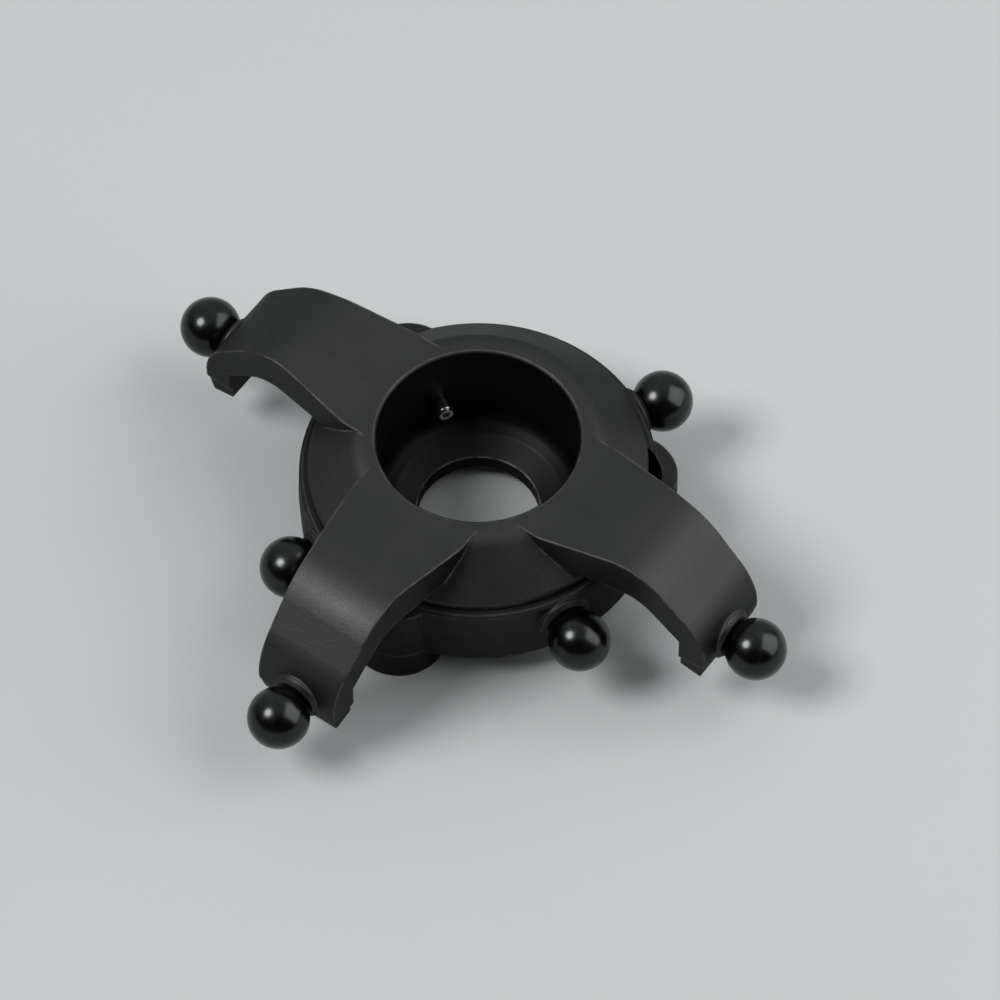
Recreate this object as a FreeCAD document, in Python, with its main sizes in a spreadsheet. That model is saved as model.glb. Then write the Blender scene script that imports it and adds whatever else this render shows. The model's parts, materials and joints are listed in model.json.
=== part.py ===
import FreeCAD, Part
import math
import os
import re

import Sketcher

# Helicopter swashplate: a three-armed star that turns on a three-balled ring.
# Millimetres. +Z is the mast axis, and the origin lies on it in the plane of the ring's link balls,
# where the guide ball of the mast has its centre. The first star arm points along +X.

SIZES = [
    # alias, value, what it is
    ("star_top", 6.85, "height of the star's flat land"),
    ("land_radius", 9.7, "outer radius of the land round the bore"),
    ("brim_radius", 13.7, "outer radius of the dome"),
    ("land_round", 2.0, "radius where the land turns down into the dome"),
    ("brim_round", 0.4, "radius where the dome meets its brim"),
    ("brim_height", 0.45, "height of the dome's upright edge"),
    ("dome_wall", 1.3, "wall of the dome"),
    ("running_gap", 0.25, "gap between the dome and the ring"),
    ("guide_bore_radius", 8.13, "bore for the guide ball"),
    ("bore_rim", 0.2, "chamfer at the mouth of the bore"),
    ("seat_start", -1.9, "height where the bore closes in to its seat"),
    ("seat_radius", 6.9, "radius where the seat meets the sloping floor"),
    ("seat_height", -2.9, "height where the seat meets the sloping floor"),
    ("seat_round", 1.4, "radius between the bore and its seat"),
    ("floor_height", -3.6, "height of the floor at the mast hole"),
    ("mast_hole_radius", 5.0, "hole that the mast passes with clearance"),
    ("floor_thickness", 1.5, "thickness of the floor round the mast hole"),
    ("mast_relief_radius", 6.5, "recess under the floor"),
    ("hub_wall", 1.37, "wall of the hub inside the bearing"),
    ("hub_step", 0.4, "step on the hub that carries the inner race"),
    ("hub_foot", 0.55, "hub left below the snap ring's groove"),
    ("arm_turn", 90.0, "angle from one arm to the next"),
    ("arm_rise_start", 9.2, "reach where the arm starts to rise"),
    ("arm_crest_reach", 18.4, "reach of the arm's crest corner"),
    ("arm_crest_height", 8.1, "height of the arm's crest corner"),
    ("arm_crest_round", 6.9, "radius over the crest"),
    ("arm_knee_reach", 25.55, "reach of the arm's knee corner"),
    ("arm_knee_height", 1.55, "height of the arm's knee corner"),
    ("arm_knee_round", 5.5, "radius round the knee"),
    ("arm_toe_reach", 24.1, "reach of the arm's outer face at its toe"),
    ("arm_toe_height", -2.55, "height of the arm's toe outside"),
    ("arm_heel_height", -2.25, "height of the arm's toe inside"),
    ("arm_tip_inside", 22.2, "reach of the inner face of the arm's tip"),
    ("arm_under_height", 4.15, "height of the arm's underside"),
    ("arm_under_reach", 18.6, "reach where the underside turns down"),
    ("arm_under_round", 4.0, "radius where the underside turns down"),
    ("arm_tip_ceiling", 1.3, "height where the underside meets the tip"),
    ("arm_root_half", 5.25, "half width of the arm at its root"),
    ("arm_waist_reach", 17.0, "reach of the arm's waist"),
    ("arm_waist_half", 4.05, "half width of the arm at its waist"),
    ("arm_tip_half", 3.6, "half width of the arm at its tip"),
    ("arm_edge_round", 12.0, "radius of the bend in the arm's edge"),
    ("arm_root_round", 4.0, "radius where the arm's edge leaves the dome"),
    ("arm_rise_round", 6.0, "radius where the arm's top begins to rise"),
    ("toe_half", 3.45, "half width of the narrow toe under the tip"),
    ("toe_lip_height", -0.8, "height of the lip above the narrow toe"),
    ("toe_bevel", 0.3, "height of the bevel under the lip"),
    ("link_ball_radius", 2.5, "radius of the link balls"),
    ("link_neck_radius", 1.5, "shoulder under each link ball"),
    ("link_thread_radius", 1.0, "thread of each link ball"),
    ("link_tip_chamfer", 0.3, "chamfer on the end of the thread"),
    ("thread_gap", 0.03, "radial gap between a thread and its hole"),
    ("hole_end_gap", 0.2, "hole left beyond the end of a thread"),
    ("link_pad_radius", 2.15, "raised pad that a link ball seats on"),
    ("link_pad_edge", 0.32, "chamfer round that pad"),
    ("arm_ball_reach", 27.0, "reach of the arms' link balls"),
    ("arm_ball_height", -0.26, "height of the arms' link balls"),
    ("arm_pad_reach", 24.9, "reach of the pads on the arms"),
    ("arm_pad_root", 23.5, "reach where those pads start inside the arms"),
    ("arm_thread_length", 2.2, "thread in the arm's tip"),
    ("ring_ball_reach", 17.0, "reach of the ring's link balls"),
    ("ring_pad_reach", 14.95, "reach of the pads on the ring"),
    ("ring_thread_length", 3.6, "thread in the ring"),
    ("ring_ball_angle", 63.75, "angle of the ring's first link ball"),
    ("ring_radius", 14.5, "outer radius of the ring at its mould line"),
    ("ring_top", 2.3, "height of the ring's top"),
    ("ring_bottom", -3.6, "height of the ring's bottom"),
    ("mould_line", -0.4, "height of the ring's mould line"),
    ("ring_draft", 0.1, "how much the ring's wall leans in above and below the mould line"),
    ("ring_chamfer", 0.25, "chamfer round the ring's top"),
    ("hub_gap", 0.35, "gap between the hub and the ring's bore"),
    ("bearing_top", -1.4, "height of the shoulders that the bearing seats on"),
    ("bearing_width", 3.0, "width of the bearing"),
    ("bearing_radius", 12.5, "outer radius of the bearing"),
    ("bearing_ball_radius", 0.8, "radius of the bearing's balls"),
    ("bearing_ball_count", 18, "number of the bearing's balls"),
    ("race_wall", 0.85, "wall of each race"),
    ("race_edge", 0.2, "radius on the edges of each race"),
    ("groove_gap", 0.04, "gap between a ball and its groove"),
    ("cage_wall", 0.8, "wall of the cage"),
    ("cage_height", 2.1, "height of the cage"),
    ("pocket_gap", 0.07, "gap between a ball and its pocket"),
    ("shield_thickness", 0.15, "thickness of each shield"),
    ("shield_recess", 0.1, "how far each shield lies inside the bearing's face"),
    ("shield_gap", 0.06, "gap between a shield and the races"),
    ("snap_ring_thickness", 0.5, "thickness of the hub's snap ring"),
    ("snap_ring_radius", 10.1, "outer radius of the hub's snap ring"),
    ("snap_groove_depth", 0.45, "depth of its groove"),
    ("snap_ring_opening", 50.0, "angle that the snap ring leaves open"),
    ("snap_gap", 0.03, "gap round the snap ring in its groove"),
    ("lug_count", 3, "number of lugs on the ring and feet on the cover"),
    ("lug_angle", 33.75, "angle of the first lug"),
    ("lug_reach", 12.15, "distance of a lug's centre from the axis"),
    ("lug_radius", 3.9, "radius of a lug"),
    ("lug_top", 1.8, "height of a lug's top"),
    ("lug_wall", 1.25, "wall round a lug's pocket"),
    ("lug_inner_wall", 1.15, "wall between a lug's pocket and the ring's bore"),
    ("lug_pocket_floor", -0.6, "height of a lug's pocket floor"),
    ("cover_radius", 13.3, "outer radius of the bearing cover"),
    ("cover_floor", 0.5, "thickness of the cover under the bearing"),
    ("cover_bore_radius", 10.9, "bore of the cover"),
    ("foot_bottom", -6.5, "height of the feet that the part stands on"),
    ("screw_reach", 13.95, "distance of a cover screw from the axis"),
    ("screw_radius", 0.8, "thread of a cover screw"),
    ("screw_length", 4.4, "length of a cover screw under its head"),
    ("screw_head_radius", 1.4, "radius of a cover screw's head"),
    ("screw_head_height", 1.0, "height of a cover screw's head"),
    ("screw_head_round", 0.28, "radius round a cover screw's head"),
    ("screw_chamfer", 0.2, "chamfer on a cover screw's tip"),
    ("screw_socket", 1.3, "width across the flats of its socket"),
    ("screw_socket_depth", 0.6, "depth of its socket"),
    ("screw_sink", 1.5, "depth of the recess for head and washer"),
    ("screw_sink_radius", 1.6, "radius of that recess"),
    ("screw_gap", 0.05, "gap between a cover screw and the cover"),
    ("washer_radius", 1.5, "radius of a cover screw's washer"),
    ("washer_thickness", 0.25, "thickness of that washer"),
    ("guide_pin_radius", 0.8, "radius of the pin in the bore's wall"),
    ("guide_pin_chamfer", 0.2, "chamfer on the pin's tip"),
    ("guide_pin_stand", 1.35, "how far the pin stands into the bore"),
    ("guide_pin_angle", 147.8, "angle of the pin"),
    ("guide_pin_height", 0.6, "height of the pin"),
    ("guide_pin_cup", 0.35, "radius of the hollow in the pin's tip"),
    ("guide_pin_cup_depth", 0.25, "depth of the hollow in the pin's tip"),
    ("guide_pin_socket", 0.9, "width across the flats of its socket"),
    ("guide_pin_socket_depth", 0.9, "depth of its socket"),
]

doc = FreeCAD.newDocument("swashplate")
sheet = doc.addObject("Spreadsheet::Sheet", "Sizes")
for row, (alias, value, meaning) in enumerate(SIZES, start=1):
    sheet.set(f"A{row}", meaning)
    sheet.set(f"B{row}", str(value))
    sheet.setAlias(f"B{row}", alias)
doc.recompute()

# How far cutting tools run past the faces that they open, and where solid stock starts in the hub.
OVERCUT = "1"
CORE = "guide_bore_radius / 2"

ALIASES = re.compile(r"\b(" + "|".join(alias for alias, _, _ in SIZES) + r")\b")
TURN = FreeCAD.Vector(0, 0, 1)


def formula(text):
    """The expression with each size read from the sheet."""
    return ALIASES.sub(r"Sizes.\1", str(text))


def number(text):
    """The present value of an expression."""
    return float(sheet.evalExpression(formula(text)))


def bind(thing, **settings):
    """Tie properties of a document object to expressions."""
    for name, text in settings.items():
        thing.setExpression(name, formula(text))
    return thing


def place(thing, reach=0, height=0, angle=0, across=0):
    """Put a document object at a cylinder position, turned about the mast axis."""
    thing.setExpression("Placement.Base.x", formula(f"({reach}) * cos({angle}) - ({across}) * sin({angle})"))
    thing.setExpression("Placement.Base.y", formula(f"({reach}) * sin({angle}) + ({across}) * cos({angle})"))
    thing.setExpression("Placement.Base.z", formula(height))
    thing.setExpression("Placement.Rotation.Angle", formula(angle))
    return thing


def corner_geometry(points, index):
    """Ends, centre and angles of the arc that rounds one corner of an outline."""
    x, y, radius = points[index]
    before = FreeCAD.Vector(*points[index - 1][:2], 0)
    after = FreeCAD.Vector(*points[(index + 1) % len(points)][:2], 0)
    corner = FreeCAD.Vector(x, y, 0)
    back = (before - corner).normalize()
    ahead = (after - corner).normalize()
    half = back.getAngle(ahead) / 2
    start = corner + back * (radius / math.tan(half))
    end = corner + ahead * (radius / math.tan(half))
    centre = corner + (back + ahead).normalize() * (radius / math.sin(half))
    clockwise = back.cross(ahead).z > 0
    return start, end, centre, clockwise


def outline(body, name, plane, corners):
    """A closed sketch of straight runs. A corner is (across, up) or (across, up, rounding radius)."""
    sketch = body.newObject("Sketcher::SketchObject", name)
    support = next(item for item in body.Origin.OriginFeatures if item.Role == plane)
    sketch.AttachmentSupport = [(support, "")]
    sketch.MapMode = "FlatFace"
    points = [tuple(number(text) for text in corner) for corner in corners]
    rounds = {i: corner_geometry(points, i) for i, corner in enumerate(corners) if len(corner) == 3}
    at = [FreeCAD.Vector(point[0], point[1], 0) for point in points]
    lines = []
    for i in range(len(points)):
        j = (i + 1) % len(points)
        start = rounds[i][1] if i in rounds else at[i]
        end = rounds[j][0] if j in rounds else at[j]
        lines.append(sketch.addGeometry(Part.LineSegment(start, end)))

    def fix(geometry, vertex, corner):
        for kind, value, text in zip(("DistanceX", "DistanceY"), points[i], corner):
            rule = sketch.addConstraint(Sketcher.Constraint(kind, -1, 1, geometry, vertex, value))
            sketch.setExpression(f"Constraints[{rule}]", formula(text))

    for i, corner in enumerate(corners):
        last, following = lines[i - 1], lines[i]
        if i not in rounds:
            sketch.addConstraint(Sketcher.Constraint("Coincident", last, 2, following, 1))
            fix(following, 1, corner)
            continue
        start, end, centre, clockwise = rounds[i]
        circle = Part.Circle(centre, TURN, points[i][2])
        first, second = (end, start) if clockwise else (start, end)
        arc = sketch.addGeometry(Part.ArcOfCircle(circle, circle.parameter(first), circle.parameter(second)))
        arc_start, arc_end = (2, 1) if clockwise else (1, 2)
        mark = sketch.addGeometry(Part.Point(at[i]), True)
        fix(mark, 1, corner)
        sketch.addConstraint(Sketcher.Constraint("PointOnObject", mark, 1, last))
        sketch.addConstraint(Sketcher.Constraint("PointOnObject", mark, 1, following))
        sketch.addConstraint(Sketcher.Constraint("Tangent", last, 2, arc, arc_start))
        sketch.addConstraint(Sketcher.Constraint("Tangent", arc, arc_end, following, 1))
        rule = sketch.addConstraint(Sketcher.Constraint("Radius", arc, points[i][2]))
        sketch.setExpression(f"Constraints[{rule}]", formula(corner[2]))
    return sketch


def turned(name, corners, axis="V_Axis"):
    """A body turned from an outline on the XZ plane, about the mast axis or about X (H_Axis)."""
    body = doc.addObject("PartDesign::Body", name)
    sketch = outline(body, name + "_section", "XZ_Plane", corners)
    turning = body.newObject("PartDesign::Revolution", name + "_turning")
    turning.Profile = sketch
    turning.ReferenceAxis = (sketch, [axis])
    turning.Angle = 360
    return body


def padded(name, plane, corners, length, middle=False, offset="0"):
    """A body of constant section: an outline on one of its base planes, padded."""
    body = doc.addObject("PartDesign::Body", name)
    sketch = outline(body, name + "_outline", plane, corners)
    sketch.setExpression("AttachmentOffset.Base.z", formula(offset))
    pad = body.newObject("PartDesign::Pad", name + "_pad")
    pad.Profile = sketch
    pad.Midplane = middle
    bind(pad, Length=length)
    return body


def cylinder(name, radius, length, **where):
    """An upright cylinder."""
    return place(bind(doc.addObject("Part::Cylinder", name), Radius=radius, Height=length), **where)


def copy(thing, name, **where):
    """A linked copy somewhere else."""
    link = doc.addObject("App::Link", name)
    link.LinkedObject = thing
    return place(link, **where)


def fused(name, things):
    whole = doc.addObject("Part::MultiFuse", name)
    whole.Shapes = things
    whole.Refine = True
    return whole


def cut(name, base, tools):
    """The base less all the tools."""
    tool = tools[0] if len(tools) == 1 else fused(name + "_tools", tools)
    whole = doc.addObject("Part::Cut", name)
    whole.Base = base
    whole.Tool = tool
    whole.Refine = True
    return whole


def common(name, things):
    whole = doc.addObject("Part::MultiCommon", name)
    whole.Shapes = things
    whole.Refine = True
    return whole


def ball_stud(name, reach, height, angle, seat, thread_length):
    """A link ball with its shoulder and thread, turned about its own axis, on the seat's reach."""
    inside = f"({seat}) - ({reach})"
    tip = f"{inside} - ({thread_length})"
    body = doc.addObject("PartDesign::Body", name)
    sketch = outline(body, name + "_section", "XZ_Plane", [
        (tip, "0"),
        ("0", "0"),
        ("0", "link_neck_radius"),
        (inside, "link_neck_radius"),
        (inside, "link_thread_radius"),
        (f"{tip} + link_tip_chamfer", "link_thread_radius"),
        (tip, "link_thread_radius - link_tip_chamfer"),
    ])
    shank = body.newObject("PartDesign::Revolution", name + "_shank")
    shank.Profile = sketch
    shank.ReferenceAxis = (sketch, ["H_Axis"])
    shank.Angle = 360
    ball = doc.addObject("Part::Sphere", name + "_ball")
    bind(ball, Radius="link_ball_radius")
    seat_side = doc.addObject("Part::Box", name + "_seat_side")
    bind(seat_side, Length="link_ball_radius", Width="4 * link_ball_radius", Height="4 * link_ball_radius")
    seat_side.setExpression("Placement.Base.x", formula(f"{inside} - link_ball_radius"))
    seat_side.setExpression("Placement.Base.y", formula("-2 * link_ball_radius"))
    seat_side.setExpression("Placement.Base.z", formula("-2 * link_ball_radius"))
    seated = cut(name + "_seated_ball", ball, [seat_side])
    return place(fused(name, [body, seated]), reach=reach, height=height, angle=angle)


def threaded_seat(name, reach, height, angle, thread_length):
    """The hole that a link ball's thread goes into, from outside the pad."""
    end = f"({reach}) - ({thread_length}) - hole_end_gap"
    radius = "link_thread_radius + thread_gap"
    mouth = f"{reach} + {OVERCUT}"
    hole = turned(name, [(end, "0"), (mouth, "0"), (mouth, radius), (end, radius)], "H_Axis")
    return place(hole, height=height, angle=angle)


def link_pad(name, reach, root, height, angle):
    """The round raised pad under a link ball."""
    pad = turned(name, [
        (root, "0"),
        (reach, "0"),
        (reach, "link_pad_radius - link_pad_edge"),
        (f"({reach}) - link_pad_edge", "link_pad_radius"),
        (root, "link_pad_radius"),
    ], "H_Axis")
    return place(pad, height=height, angle=angle)


# Where each repeated piece points.
ARM_ANGLES = {1: "0", 2: "2 * arm_turn", 3: "3 * arm_turn"}
RING_BALL_ANGLES = {i: f"ring_ball_angle + {text}" for i, text in
                    {1: "0", 2: "2 * arm_turn", 3: "3 * arm_turn"}.items()}
BEARING_BALLS = range(int(number("bearing_ball_count")))
LUG_NUMBERS = range(1, int(number("lug_count")) + 1)
LUG_ANGLES = {i: f"lug_angle + {i - 1} * 360 / lug_count" for i in LUG_NUMBERS}

# Levels that several pieces share.
BRIM_BOTTOM = "ring_top + running_gap"
BRIM_TOP = f"{BRIM_BOTTOM} + brim_height"
BEARING_BOTTOM = "bearing_top - bearing_width"
BEARING_MIDDLE = "bearing_top - bearing_width / 2"
HUB_RADIUS = "(guide_bore_radius + hub_wall)"
RING_BORE = f"{HUB_RADIUS} + hub_step + hub_gap"
BALL_CIRCLE = f"({HUB_RADIUS} + bearing_radius) / 2"
FLOOR_UNDER = "floor_height - floor_thickness"
SNAP_BOTTOM = f"{BEARING_BOTTOM} - snap_ring_thickness - snap_gap"
HUB_BOTTOM = f"{SNAP_BOTTOM} - hub_foot"
HEAD_SEAT = "foot_bottom + screw_sink"


def arm_star():
    """The domed star: hub, dome and three arms in one moulding, with the guide bore through it."""
    shoulder = f"{HUB_RADIUS} + hub_step"
    slope = f"(star_top - ({BRIM_TOP})) / (brim_radius - land_radius)"
    ceiling = f"star_top - dome_wall * sqrt(1 + ({slope}) ^ 2)"
    neck_ceiling = f"{ceiling} - ({shoulder} - land_radius) * {slope}"
    hollow_edge = f"land_radius + ({ceiling} - ({BRIM_BOTTOM})) / ({slope})"
    groove = f"{HUB_RADIUS} - snap_groove_depth"
    dome = turned("star_dome", [
        ("0", "star_top"),
        ("land_radius", "star_top", "land_round"),
        ("brim_radius", BRIM_TOP, "brim_round"),
        ("brim_radius", BRIM_BOTTOM),
        (hollow_edge, BRIM_BOTTOM),
        (shoulder, neck_ceiling),
        (shoulder, "bearing_top"),
        (HUB_RADIUS, "bearing_top"),
        (HUB_RADIUS, BEARING_BOTTOM),
        (groove, BEARING_BOTTOM),
        (groove, SNAP_BOTTOM),
        (HUB_RADIUS, SNAP_BOTTOM),
        (HUB_RADIUS, HUB_BOTTOM),
        ("0", HUB_BOTTOM),
    ])
    side = padded("arm_side", "XZ_Plane", [
        (CORE, "star_top"),
        ("arm_rise_start", "star_top", "arm_rise_round"),
        ("arm_crest_reach", "arm_crest_height", "arm_crest_round"),
        ("arm_knee_reach", "arm_knee_height", "arm_knee_round"),
        ("arm_toe_reach", "arm_toe_height"),
        ("arm_tip_inside", "arm_heel_height"),
        ("arm_tip_inside", "arm_tip_ceiling"),
        ("arm_under_reach", "arm_under_height", "arm_under_round"),
        (CORE, "arm_under_height"),
    ], "4 * arm_root_half", middle=True)
    plan = padded("arm_plan", "XY_Plane", [
        (CORE, "arm_root_half"),
        (CORE, "-arm_root_half"),
        ("land_radius", "-arm_root_half", "arm_root_round"),
        ("arm_waist_reach", "-arm_waist_half", "arm_edge_round"),
        (f"arm_knee_reach + {OVERCUT}", "-arm_tip_half"),
        (f"arm_knee_reach + {OVERCUT}", "arm_tip_half"),
        ("arm_waist_reach", "arm_waist_half", "arm_edge_round"),
        ("land_radius", "arm_root_half", "arm_root_round"),
    ], "arm_crest_height + arm_knee_round", offset="-arm_knee_round")
    front = padded("arm_front", "YZ_Plane", [
        ("-arm_root_half", "arm_crest_height"),
        ("-arm_root_half", "toe_lip_height"),
        ("-arm_tip_half", "toe_lip_height"),
        ("-toe_half", "toe_lip_height - toe_bevel"),
        ("-toe_half", "2 * arm_toe_height"),
        ("toe_half", "2 * arm_toe_height"),
        ("toe_half", "toe_lip_height - toe_bevel"),
        ("arm_tip_half", "toe_lip_height"),
        ("arm_root_half", "toe_lip_height"),
        ("arm_root_half", "arm_crest_height"),
    ], f"arm_knee_reach + {OVERCUT}")
    pad = link_pad("arm_pad", "arm_pad_reach", "arm_pad_root", "arm_ball_height", "0")
    hole = threaded_seat("arm_pad_hole", "arm_pad_reach", "arm_ball_height", "0", "arm_thread_length")
    strap = common("arm_strap", [side, plan, front])
    arm = cut("arm", fused("arm_blank", [strap, pad]), [hole])
    arms = [arm] + [copy(arm, f"arm_copy_{i}", angle=ARM_ANGLES[i]) for i in (2, 3)]
    bore = turned("guide_bore", [
        ("0", f"star_top + {OVERCUT}"),
        (f"guide_bore_radius + bore_rim + {OVERCUT}", f"star_top + {OVERCUT}"),
        ("guide_bore_radius + bore_rim", "star_top"),
        ("guide_bore_radius", "star_top - bore_rim"),
        ("guide_bore_radius", "seat_start", "seat_round"),
        ("seat_radius", "seat_height"),
        ("mast_hole_radius", "floor_height"),
        ("mast_hole_radius", FLOOR_UNDER),
        ("mast_relief_radius", FLOOR_UNDER),
        ("mast_relief_radius", f"{HUB_BOTTOM} - {OVERCUT}"),
        ("0", f"{HUB_BOTTOM} - {OVERCUT}"),
    ])
    pin_hole = turned("guide_pin_hole", [
        (CORE, "0"),
        (f"{shoulder} + {OVERCUT}", "0"),
        (f"{shoulder} + {OVERCUT}", "guide_pin_radius + thread_gap"),
        (CORE, "guide_pin_radius + thread_gap"),
    ], "H_Axis")
    place(pin_hole, height="guide_pin_height", angle="guide_pin_angle")
    return cut("arm_star", fused("star_blank", [dome] + arms), [bore, pin_hole])


def ball_ring():
    """The ring that stays with the servos: outer wall, bearing seat, lugs and link ball seats."""
    wall = turned("ring_wall", [
        ("0", "ring_bottom"),
        ("ring_radius - ring_draft", "ring_bottom"),
        ("ring_radius", "mould_line"),
        ("ring_radius - ring_draft", "ring_top - ring_chamfer"),
        ("ring_radius - ring_draft - ring_chamfer", "ring_top"),
        ("0", "ring_top"),
    ])
    shapes = [wall]
    cuts = [turned("ring_bore", [
        ("0", f"ring_top + {OVERCUT}"),
        (RING_BORE, f"ring_top + {OVERCUT}"),
        (RING_BORE, "bearing_top"),
        ("bearing_radius", "bearing_top"),
        ("bearing_radius", f"ring_bottom - {OVERCUT}"),
        ("0", f"ring_bottom - {OVERCUT}"),
    ])]
    inner_limit = cylinder("lug_pocket_limit", f"{RING_BORE} + lug_inner_wall",
                           "lug_top - ring_bottom", height="ring_bottom")
    for i, angle in LUG_ANGLES.items():
        shapes.append(cylinder(f"lug_{i}", "lug_radius", "lug_top - ring_bottom",
                               reach="lug_reach", height="ring_bottom", angle=angle))
        hollow = cylinder(f"lug_hollow_{i}", "lug_radius - lug_wall", f"ring_top - lug_pocket_floor + {OVERCUT}",
                          reach="lug_reach", height="lug_pocket_floor", angle=angle)
        cuts.append(cut(f"lug_pocket_{i}", hollow, [inner_limit]))
        cuts.append(cylinder(f"lug_screw_hole_{i}", "screw_radius + thread_gap",
                             f"screw_length - (ring_bottom - ({HEAD_SEAT})) + hole_end_gap",
                             reach="screw_reach", height="ring_bottom", angle=angle))
    for i, angle in RING_BALL_ANGLES.items():
        shapes.append(link_pad(f"ring_pad_{i}", "ring_pad_reach", "bearing_radius", "0", angle))
        cuts.append(threaded_seat(f"ring_pad_hole_{i}", "ring_pad_reach", "0", angle, "ring_thread_length"))
    return cut("ball_ring", fused("ring_blank", shapes), cuts)


def bearing_cover():
    """The cover that holds the bearing up in the ring, with the feet that the part stands on."""
    disc = cylinder("cover_disc", "cover_radius", f"ring_bottom - ({BEARING_BOTTOM}) + cover_floor",
                    height=f"{BEARING_BOTTOM} - cover_floor")
    shapes = [disc]
    cuts = [
        cylinder("cover_bore", "cover_bore_radius", "ring_bottom - foot_bottom", height="foot_bottom"),
        cylinder("cover_bearing_seat", "bearing_radius", f"ring_bottom - ({BEARING_BOTTOM}) + {OVERCUT}",
                 height=BEARING_BOTTOM),
    ]
    for i, angle in LUG_ANGLES.items():
        shapes.append(cylinder(f"foot_{i}", "lug_radius", "ring_bottom - foot_bottom",
                               reach="lug_reach", height="foot_bottom", angle=angle))
        cuts.append(cylinder(f"foot_sink_{i}", "screw_sink_radius", "screw_sink",
                             reach="screw_reach", height="foot_bottom", angle=angle))
        cuts.append(cylinder(f"foot_screw_hole_{i}", "screw_radius + screw_gap", "ring_bottom - foot_bottom",
                             reach="screw_reach", height="foot_bottom", angle=angle))
    return cut("bearing_cover", fused("cover_blank", shapes), cuts)


def race(name, inner, outer):
    """One race of the bearing, with the groove that the balls run in."""
    ring = turned(name + "_ring", [
        (inner, BEARING_BOTTOM, "race_edge"),
        (outer, BEARING_BOTTOM, "race_edge"),
        (outer, "bearing_top", "race_edge"),
        (inner, "bearing_top", "race_edge"),
    ])
    groove = doc.addObject("Part::Torus", name + "_groove")
    bind(groove, Radius1=BALL_CIRCLE, Radius2="bearing_ball_radius + groove_gap")
    place(groove, height=BEARING_MIDDLE)
    return cut(name, ring, [groove])


def bearing_cage():
    """The band that spaces the balls, with one round pocket for each."""
    inside = f"{BALL_CIRCLE} - cage_wall / 2"
    outside = f"{BALL_CIRCLE} + cage_wall / 2"
    bottom = f"{BEARING_MIDDLE} - cage_height / 2"
    top = f"{BEARING_MIDDLE} + cage_height / 2"
    band = turned("cage_band", [(inside, bottom), (outside, bottom), (outside, top), (inside, top)])
    pockets = [turned(f"cage_pocket_{i}", [
        (f"{BALL_CIRCLE} - cage_wall", "0"),
        (f"{BALL_CIRCLE} + cage_wall", "0"),
        (f"{BALL_CIRCLE} + cage_wall", "bearing_ball_radius + pocket_gap"),
        (f"{BALL_CIRCLE} - cage_wall", "bearing_ball_radius + pocket_gap"),
    ], "H_Axis") for i in BEARING_BALLS]
    for i, pocket in zip(BEARING_BALLS, pockets):
        place(pocket, height=BEARING_MIDDLE, angle=f"{i} * 360 / bearing_ball_count")
    return cut("bearing_cage", band, pockets)


def bearing_balls():
    """The balls, as one group of separate solids."""
    balls = []
    for i in BEARING_BALLS:
        ball = bind(doc.addObject("Part::Sphere", f"bearing_ball_{i}"), Radius="bearing_ball_radius")
        place(ball, reach=BALL_CIRCLE, height=BEARING_MIDDLE, angle=f"{i} * 360 / bearing_ball_count")
        balls.append(ball)
    group = doc.addObject("Part::Compound", "bearing_balls")
    group.Links = balls
    return group


def shield(name, bottom):
    """A thin washer that closes the bearing between its races."""
    inner = f"{HUB_RADIUS} + race_wall + shield_gap"
    outer = "bearing_radius - race_wall - shield_gap"
    top = f"{bottom} + shield_thickness"
    return turned(name, [(inner, bottom), (outer, bottom), (outer, top), (inner, top)])


def hub_snap_ring():
    """The open ring in the hub's groove that holds the inner race up against the hub's shoulder."""
    bottom = f"{BEARING_BOTTOM} - snap_ring_thickness"
    inner = f"{HUB_RADIUS} - snap_groove_depth + snap_gap"
    band = turned("snap_band", [
        (inner, bottom),
        ("snap_ring_radius", bottom),
        ("snap_ring_radius", BEARING_BOTTOM),
        (inner, BEARING_BOTTOM),
    ])
    reach = "2 * snap_ring_radius"
    gap = padded("snap_opening", "XY_Plane", [
        ("0", "0"),
        (reach, f"-{reach} * tan(snap_ring_opening / 2)"),
        (reach, f"{reach} * tan(snap_ring_opening / 2)"),
    ], "bearing_width", offset=f"{bottom} - bearing_width / 2")
    place(gap, angle="3 * arm_turn / 2")
    return cut("hub_snap_ring", band, [gap])


def socket(name, flats, depth, mouth):
    """A six-sided socket that opens downwards at its mouth."""
    tool = doc.addObject("Part::Prism", name)
    tool.Polygon = 6
    bind(tool, Circumradius=f"{flats} / 2 / cos(30)", Height=f"{depth} + {OVERCUT}")
    return place(tool, height=f"{mouth} - {OVERCUT}")


def cover_screw(i, angle):
    """A cap screw that goes up through a foot into its lug, with its socket facing down."""
    name = f"cover_screw_{i}"
    seat = f"{HEAD_SEAT} - washer_thickness"
    tip = f"{HEAD_SEAT} + screw_length"
    face = f"{seat} - screw_head_height"
    shape = turned(name + "_shank", [
        ("0", face),
        ("screw_head_radius", face, "screw_head_round"),
        ("screw_head_radius", seat),
        ("screw_radius", seat),
        ("screw_radius", f"{tip} - screw_chamfer"),
        ("screw_radius - screw_chamfer", tip),
        ("0", tip),
    ])
    drive = socket(name + "_socket", "screw_socket", "screw_socket_depth", face)
    return place(cut(name, shape, [drive]), reach="screw_reach", angle=angle)


def screw_washer(i, angle):
    """The flat washer under a cover screw's head."""
    inner = "screw_radius + screw_gap"
    bottom = f"{HEAD_SEAT} - washer_thickness"
    washer = turned(f"screw_washer_{i}", [
        (inner, bottom), ("washer_radius", bottom), ("washer_radius", HEAD_SEAT), (inner, HEAD_SEAT),
    ])
    return place(washer, reach="screw_reach", angle=angle)


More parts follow.
